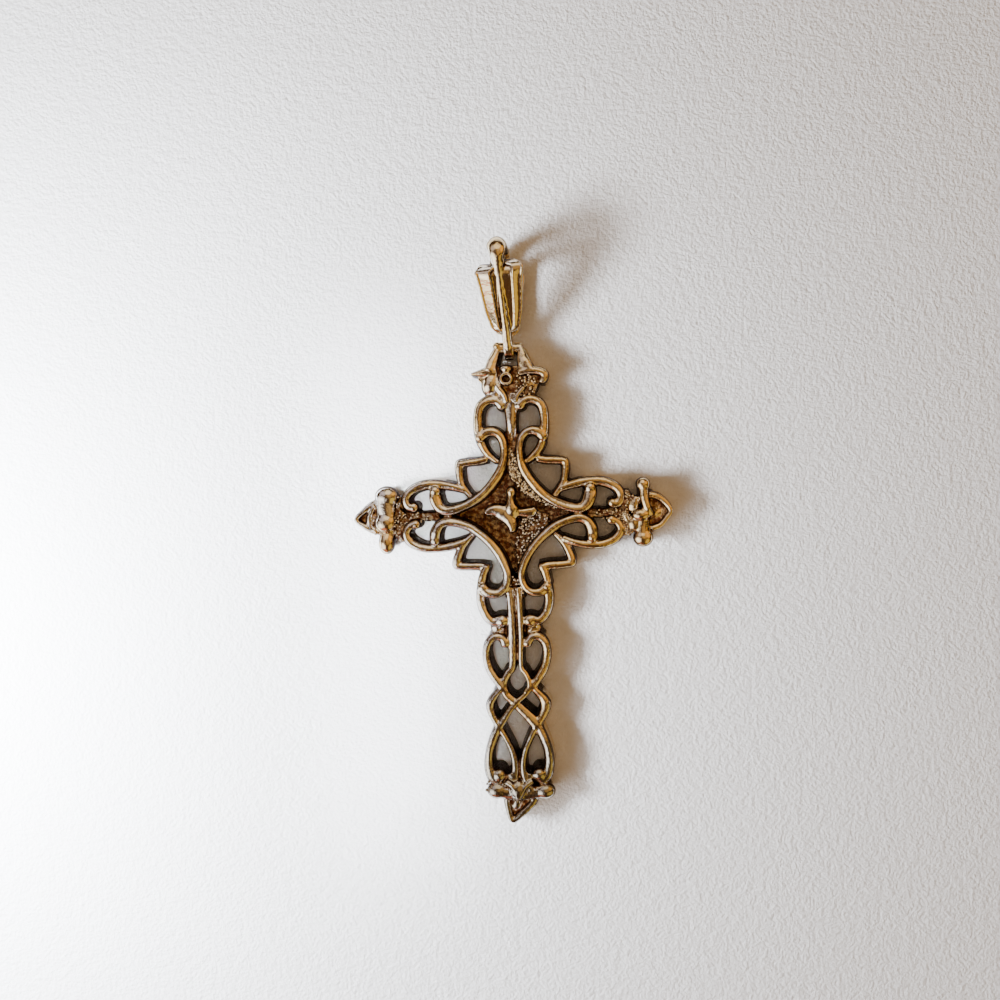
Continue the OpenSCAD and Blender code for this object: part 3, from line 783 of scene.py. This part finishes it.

# %% [markdown]
# Rays that meet silver count in full, a little less from far off. The pale table under a
# lying piece counts a quarter, as painted shade that darkens walls near the paper. Walls
# that face other silver and sunk floors are darkened once more, because no cloth reaches
# them, and the tops of the grains are rubbed bright.

# %% Measure how enclosed each point is
OFF_SKIN, TABLE_SHADE, FAR_SHARE = 0.03, 0.25, 0.3
CREVICE, GRAIN_TOP, GRAIN_SIDE = 0.45, 0.3, 0.9


def measure_recess_and_shade(piece, reach, lying):
    """Writes enclosure and painted table shade for each point, from rays reach millimetres long.
    """
    mesh = piece.data
    tree = BVHTree.FromPolygons([v.co / MM for v in mesh.vertices],
                                [p.vertices[:] for p in mesh.polygons])
    fan = ray_fan(12)
    recess_and_shade = np.empty(len(mesh.vertices), np.float32)
    for v in mesh.vertices:
        normal = v.normal
        turn = normal.to_track_quat("Z", "X").to_matrix()
        start = v.co / MM + normal * OFF_SKIN
        silver_hits, table_hits = 0.0, 0.0
        for ray in fan:
            aim = turn @ ray
            distance = tree.ray_cast(start, aim, reach)[3]
            if distance is not None:
                silver_hits += (1 - FAR_SHARE * distance / reach) / len(fan)
            elif lying and normal.z > -0.6 and aim.z * reach < -start.z:
                table_hits += 1 / len(fan)
        steep = between(abs(normal.z), 0.8, 0.45)
        # Painted shade: rays that reach the table darken walls near the paper.
        dark = silver_hits + TABLE_SHADE * table_hits
        dark += CREVICE * steep * between(silver_hits, 0.125, 0.375)
        if v.index >= piece["grains_from"]:
            dark *= GRAIN_TOP if start.z > 1.56 and normal.z > 0.2 else GRAIN_SIDE
        elif lying and normal.z > 0.3:
            dark += CREVICE * between(start.z, 1.5, 1.3)
        recess_and_shade[v.index] = dark
    mesh.attributes.new("recess_and_shade", "FLOAT", "POINT").data.foreach_set("value", recess_and_shade)
    print(piece.name, "recess from", recess_and_shade.min().round(2), "to", recess_and_shade.max().round(2))


measure_recess_and_shade(cross_casting, 4.2, lying=True)
measure_recess_and_shade(bail_casting, 1.2, lying=False)

# %% [markdown]
# ## Finishes
# A finish is a tree of nodes. These helpers add one node each, and link or set its inputs.

# %% Node helpers
def new_group(name, inputs, outputs):
    group = bpy.data.node_groups.new(name, "ShaderNodeTree")
    for direction, sockets in (("INPUT", inputs), ("OUTPUT", outputs)):
        for label, kind, value in sockets:
            socket = group.interface.new_socket(label, in_out=direction, socket_type=kind)
            if value is not None:
                socket.default_value = value
    return group, group.nodes.new("NodeGroupInput"), group.nodes.new("NodeGroupOutput")


def node(tree, kind, inputs=None, **settings):
    made = tree.nodes.new("ShaderNode" + kind)
    for key, value in settings.items():
        setattr(made, key, value)
    for key, value in (inputs or {}).items():
        if isinstance(value, bpy.types.NodeSocket):
            tree.links.new(value, made.inputs[key])
        else:
            made.inputs[key].default_value = value
    return made


def math_node(tree, operation, *values):
    return node(tree, "Math", dict(enumerate(values)), operation=operation).outputs[0]


def noise(tree, place, scale, detail):
    return node(tree, "TexNoise",
                {"Vector": place, "Scale": scale, "Detail": detail}).outputs["Fac"]


def ramp(tree, value, start, end, low=0.0, high=1.0, kind="LINEAR"):
    """Low at the start value, high at the end value, and no further on either side."""
    return node(tree, "MapRange", {"Value": value, "From Min": start, "From Max": end,
                                   "To Min": low, "To Max": high},
                interpolation_type=kind).outputs["Result"]


def mixed(tree, share, plain, other):
    return node(tree, "Mix", {"Factor": share, "A": plain, "B": other},
                data_type="RGBA").outputs["Result"]


def height_of(tree, place):
    return node(tree, "SeparateXYZ", {0: place}).outputs["Z"]


print("node helpers ready")

# %% [markdown]
# Both silvers use two effects, so each is a node group. The first is patina with painted
# shade, which turns the recess number (patina, and painted shade from the table) and the
# painted dark edges into a ragged mask.

# %% Patina and painted shade
patina_and_shade, given, result = new_group(
    "patina_and_shade", [("Start", "NodeSocketFloat", 0.35), ("End", "NodeSocketFloat", 0.7),
               ("Ragged", "NodeSocketFloat", 0.1), ("Painted Edge Shade", "NodeSocketFloat", 0.0)],
    [("Mask", "NodeSocketFloat", None)])
recess_and_shade = node(patina_and_shade, "Attribute", attribute_name="recess_and_shade", attribute_type="GEOMETRY")
ragged = given.outputs["Ragged"]
mottle = noise(patina_and_shade, node(patina_and_shade, "TexCoord").outputs["Object"], 2600.0, 4.0)
shift = math_node(patina_and_shade, "MULTIPLY_ADD", mottle, ragged,
                  math_node(patina_and_shade, "MULTIPLY", ragged, -0.5))
level = math_node(patina_and_shade, "ADD", recess_and_shade.outputs["Fac"],
                  math_node(patina_and_shade, "ADD", shift, given.outputs["Painted Edge Shade"]))
mask = ramp(patina_and_shade, level, given.outputs["Start"], given.outputs["End"], kind="SMOOTHSTEP")
patina_and_shade.links.new(mask, result.inputs["Mask"])
print("patina:", len(patina_and_shade.nodes), "nodes")

# %% [markdown]
# The second is cast skin: the slow ripple and fine grain that casting leaves under a
# polish. The grain is far rougher under the patina, where nobody polished.

# %% Cast skin
UNPOLISHED = 3.0
cast_skin, given, result = new_group(
    "cast_skin", [("Ripple", "NodeSocketFloat", 0.5), ("Grain", "NodeSocketFloat", 0.5),
                  ("Patina And Shade", "NodeSocketFloat", 0.0)], [("Height", "NodeSocketFloat", None)])
place = node(cast_skin, "TexCoord").outputs["Object"]
grit = math_node(cast_skin, "MULTIPLY_ADD", given.outputs["Patina And Shade"], UNPOLISHED,
                 given.outputs["Grain"])
rough = math_node(cast_skin, "MULTIPLY", noise(cast_skin, place, 5200.0, 3.0), grit)
height = math_node(cast_skin, "MULTIPLY_ADD", noise(cast_skin, place, 900.0, 2.0),
                   given.outputs["Ripple"], rough)
cast_skin.links.new(height, result.inputs["Height"])
print("cast skin:", len(cast_skin.nodes), "nodes")

# %% [markdown]
# Silver is a bright metal with hardly any colour of its own, and what it mirrors gives most
# of the tints. A cloudy film of tarnish warms it at random, and a painted warm reflection
# warms it more towards the upper right. The foot is greyer. Places are in metres here,
# because a material reads the finished mesh.

# %% Colour of the polished silver
POLISHED, TARNISH_AND_SHEEN, FOOT_GREY = (0.93, 0.9, 0.86, 1), (0.95, 0.78, 0.5, 1), (0.5, 0.48, 0.43, 1)
GREY_FROM, GREY_TO = -0.012, -0.022


def polished_colour(tree, place):
    where = node(tree, "SeparateXYZ", {0: place}).outputs
    # Painted warm reflection: the warm share rises with X and Y, over cloudy tarnish noise.
    tarnish_and_sheen = math_node(tree, "MULTIPLY_ADD", where["X"], 12.0, noise(tree, place, 230.0, 2.0))
    tarnish_and_sheen = math_node(tree, "MULTIPLY_ADD", where["Y"], 7.0, tarnish_and_sheen)
    plain = mixed(tree, ramp(tree, where["Y"], GREY_FROM, GREY_TO), POLISHED, FOOT_GREY)
    return mixed(tree, ramp(tree, tarnish_and_sheen, 0.38, 0.62, kind="SMOOTHSTEP"), plain, TARNISH_AND_SHEEN)


print("greyer from", GREY_FROM / MM, "mm")

# %% [markdown]
# The patina is nearly black on walls. On floors it is a rubbed brown with pale specks. A
# painted shade also darkens the steep sides under the crests, in the upper third of the
# walls, and draws dark outlines along the wires.

# %% Colour of the patina, and the painted edge shade
BLACK, BROWN, SPECK = (0.025, 0.01, 0.006, 1), (0.27, 0.1, 0.045, 1), (1.0, 0.7, 0.38, 1)
CREST_FROM, CREST_TO, EDGE_SHADE = 0.00155, 0.00175, 0.45


def patina_colour(tree, place, up):
    rubbed = ramp(tree, noise(tree, place, 2900.0, 4.0), 0.45, 0.65)
    return mixed(tree, ramp(tree, up, 0.5, 0.9), BLACK, mixed(tree, rubbed, BROWN, SPECK))


# Painted shade: the steep sides just under the crest heights are darkened as outlines.
def painted_edge_shade(tree, place, up):
    steep = ramp(tree, math_node(tree, "ABSOLUTE", up), 0.8, 0.45, high=EDGE_SHADE)
    crest = ramp(tree, height_of(tree, place), CREST_FROM, CREST_TO)
    return math_node(tree, "MULTIPLY", steep, crest)


print("edges are dark above", CREST_TO / MM, "mm")

# %% [markdown]
# One function makes both silvers. The bail was handled more, so its patina starts later and
# its skin is smoother.

# %% Silver with patina and painted shade
POLISH, DULL = 0.13, 0.34


def silver(name, start, end, ripple):
    """start and end: how enclosed the patina and shade begin, and how enclosed they are full."""
    material = bpy.data.materials.new(name)
    material.use_nodes = True
    tree = material.node_tree
    shader = tree.nodes["Principled BSDF"]
    coordinates = node(tree, "TexCoord").outputs
    place, up = coordinates["Object"], height_of(tree, coordinates["Normal"])
    patina_and_shade_node = node(tree, "Group", {"Start": start, "End": end,
                                "Painted Edge Shade": painted_edge_shade(tree, place, up)}, node_tree=patina_and_shade)
    mask = patina_and_shade_node.outputs["Mask"]
    skin = node(tree, "Group", {"Ripple": ripple, "Grain": 0.12, "Patina And Shade": mask},
                node_tree=cast_skin)
    colour = mixed(tree, mask, polished_colour(tree, place), patina_colour(tree, place, up))
    tree.links.new(colour, shader.inputs["Base Color"])
    dull = ramp(tree, mask, 0.0, 1.0, low=POLISH, high=DULL)
    tree.links.new(dull, shader.inputs["Roughness"])
    shader.inputs["Metallic"].default_value = 1.0
    bump = node(tree, "Bump", {"Strength": 0.55, "Distance": 0.0003,
                               "Height": skin.outputs["Height"]})
    tree.links.new(bump.outputs["Normal"], shader.inputs["Normal"])
    return material


cross_silver = silver("cast_silver", start=0.2, end=0.38, ripple=0.5)
bail_silver = silver("bail_silver", start=0.32, end=0.55, ripple=0.4)
print("silvers ready")

# %% [markdown]
# Each casting takes its silver, rides on its body, and stands for its plain solid.

# %% Dress the castings
for piece, finish, body, slot in (
    (cross_casting, cross_silver, "cross", "cast_silver"),
    (bail_casting, bail_silver, "bail", "bail_silver"),
):
    piece.data.materials.clear()
    piece.data.materials.append(finish)
    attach(piece, body)
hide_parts("cross")
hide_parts("bail")
print("finishes ready")

# %% [markdown]
# ## The paper, the light and the camera
# The pendant lies on pale drawing paper. Its tooth is bump alone, because nothing is seen
# that close. It is wide enough that no other view shows its edge close by.

# %% Paper
bpy.ops.mesh.primitive_plane_add(size=1.6)
paper = bpy.context.object
paper.name = "paper"
tooth = bpy.data.materials.new("drawing_paper")
tooth.use_nodes = True
tree = tooth.node_tree
shader = tree.nodes["Principled BSDF"]
shader.inputs["Base Color"].default_value = (0.86, 0.855, 0.85, 1)
shader.inputs["Roughness"].default_value = 0.9
place = node(tree, "TexCoord").outputs["Object"]
fibre, pulp = noise(tree, place, 3400.0, 4.0), noise(tree, place, 1300.0, 3.0)
relief = math_node(tree, "ADD", fibre, pulp)
bump = node(tree, "Bump", {"Strength": 0.4, "Distance": 0.0004, "Height": relief})
tree.links.new(bump.outputs["Normal"], shader.inputs["Normal"])
paper.data.materials.append(tooth)
print("paper", round(paper.dimensions.x, 2), "m wide")

# %% [markdown]
# Polished silver shows the room round it. The room here is warm and dim, with a few lit
# patches that the wires mirror as gold, cream and rose. Each patch is a direction, how
# close to it the colour starts and is full (as cosines), and the colour.

# %% Patches of the room
ROOM, LOW_WALL = (0.075, 0.036, 0.014, 1), (0.03, 0.016, 0.009, 1)
PATCHES = (
    ((0.9, -0.25, 0.35), 0.7, 0.95, (0.03, 0.013, 0.007, 1)),
    ((0.2, 0.05, 0.98), 0.9, 0.99, (0.5, 0.28, 0.09, 1)),
    ((-0.7, -0.42, 0.58), 0.82, 0.95, (1.3, 1.2, 1.1, 1)),
    ((-0.5, 0.5, 0.7), 0.9, 0.98, (0.7, 0.58, 0.56, 1)),
    ((-0.7, -0.45, 0.56), 0.92, 0.98, (3.2, 3.0, 2.75, 1)),
    ((0.02, 0.68, 0.73), 0.88, 0.97, (1.3, 1.02, 0.65, 1)),
    ((0.7, 0.35, 0.62), 0.88, 0.98, (1.0, 0.48, 0.09, 1)),
    ((-0.35, -0.9, 0.25), 0.92, 0.99, (0.9, 0.3, 0.18, 1)),
    ((0.6, -0.6, 0.52), 0.88, 0.97, (0.7, 0.46, 0.1, 1)),
)
world = bpy.data.worlds.new("room")
bpy.context.scene.world = world
world.use_nodes = True
tree = world.node_tree
look = node(tree, "TexCoord").outputs["Generated"]
colour = ROOM
for toward, wide, narrow, shade in PATCHES:
    near = node(tree, "VectorMath", {0: look, 1: Vector(toward).normalized()},
                operation="DOT_PRODUCT").outputs["Value"]
    colour = mixed(tree, ramp(tree, near, wide, narrow, kind="SMOOTHSTEP"), colour, shade)
rise = height_of(tree, look)
colour = mixed(tree, ramp(tree, rise, 0.32, 0.08, kind="SMOOTHSTEP"), colour, LOW_WALL)
print("room:", len(PATCHES), "patches")

# %% [markdown]
# The same room must also fill the shadows softly, and a camera that looks past the paper
# should see a plain grey. So diffuse rays get a warm glow from overhead, and camera rays
# get the grey.

# %% Glow and backdrop
WARM_DIM, WARM_LIT, BACKDROP = (0.13, 0.06, 0.015, 1), (1.2, 0.8, 0.45, 1), (0.8, 0.8, 0.8, 1)
ray = node(tree, "LightPath")
glow = mixed(tree, ramp(tree, rise, 0.86, 0.95), WARM_DIM, WARM_LIT)
for kind, shade in (("Is Diffuse Ray", glow), ("Is Camera Ray", BACKDROP)):
    colour = mixed(tree, ray.outputs[kind], colour, shade)
tree.links.new(colour, tree.nodes["Background"].inputs["Color"])
print("world:", len(tree.nodes), "nodes")

# %% [markdown]
# The window stands low on the left, so that the shadows fall to the right. The sill
# brightens the paper on the left, and the shelf is a faint strip over the left arm. None of
# the three is mirrored or seen, because the patches above stand for them in the silver.

# %% Window, sill and shelf
DAYLIGHT, COOL = (0.88, 0.93, 1.0), (0.9, 0.95, 1.0)


def soft_light(name, place, aim, size, spread, watts, colour):
    data = bpy.data.lights.new(name, "AREA")
    data.shape, data.size, data.spread = "DISK", size, math.radians(spread)
    data.energy, data.color = watts, colour
    lamp = bpy.data.objects.new(name, data)
    lamp.location = place
    lamp.rotation_euler = (Vector(aim) - Vector(place)).to_track_quat("-Z", "Y").to_euler()
    lamp.visible_glossy = lamp.visible_camera = False
    bpy.context.scene.collection.objects.link(lamp)
    return lamp


soft_light("window", (-0.235, -0.094, 0.122), (0, 0, 0), 0.2, 180, 0.95, DAYLIGHT)
soft_light("sill", (-0.068, -0.01, 0.04), (-0.064, -0.01, 0), 0.035, 180, 0.46, DAYLIGHT)
shelf = soft_light("shelf", (-0.0117, -0.006, 0.07), (-0.0117, -0.006, 0), 0.006, 20, 0.0046,
                   COOL)
shelf.data.shape, shelf.data.size_y = "RECTANGLE", 0.048
print("shelf at", tuple(round(v / MM, 1) for v in shelf.location), "mm")

# %% [markdown]
# The camera looks straight down from a hand's breadth, a little to the right of the stem and
# above its middle. The shift keeps the pendant where the photo frames it.

# %% Camera
PHOTO_SIDE, PIXEL = 1000, 0.0888
DISTANCE, CREST_PLANE, SENSOR = 77.0, 2.3, 36.0
BELOW_LENS, DIAMOND = (571, 444), (511.5, 515)
lens = bpy.data.cameras.new("camera")
lens.sensor_width = SENSOR
lens.lens = SENSOR * DISTANCE / (PHOTO_SIDE * PIXEL)
lens.shift_x = (PHOTO_SIDE / 2 - BELOW_LENS[0]) / PHOTO_SIDE
lens.shift_y = (BELOW_LENS[1] - PHOTO_SIDE / 2) / PHOTO_SIDE
lens.clip_start, lens.clip_end = 0.001, 10.0
camera = bpy.data.objects.new("camera", lens)
camera.location = Vector(((BELOW_LENS[0] - DIAMOND[0]) * PIXEL,
                          (DIAMOND[1] - BELOW_LENS[1]) * PIXEL + SHIFT_Y,
                          DISTANCE + CREST_PLANE)) * MM
camera.rotation_euler = (0, 0, -math.radians(1.35))
bpy.context.scene.collection.objects.link(camera)
bpy.context.scene.camera = camera
print("lens", round(lens.lens, 2), "mm, shift", round(lens.shift_x, 3), round(lens.shift_y, 3))
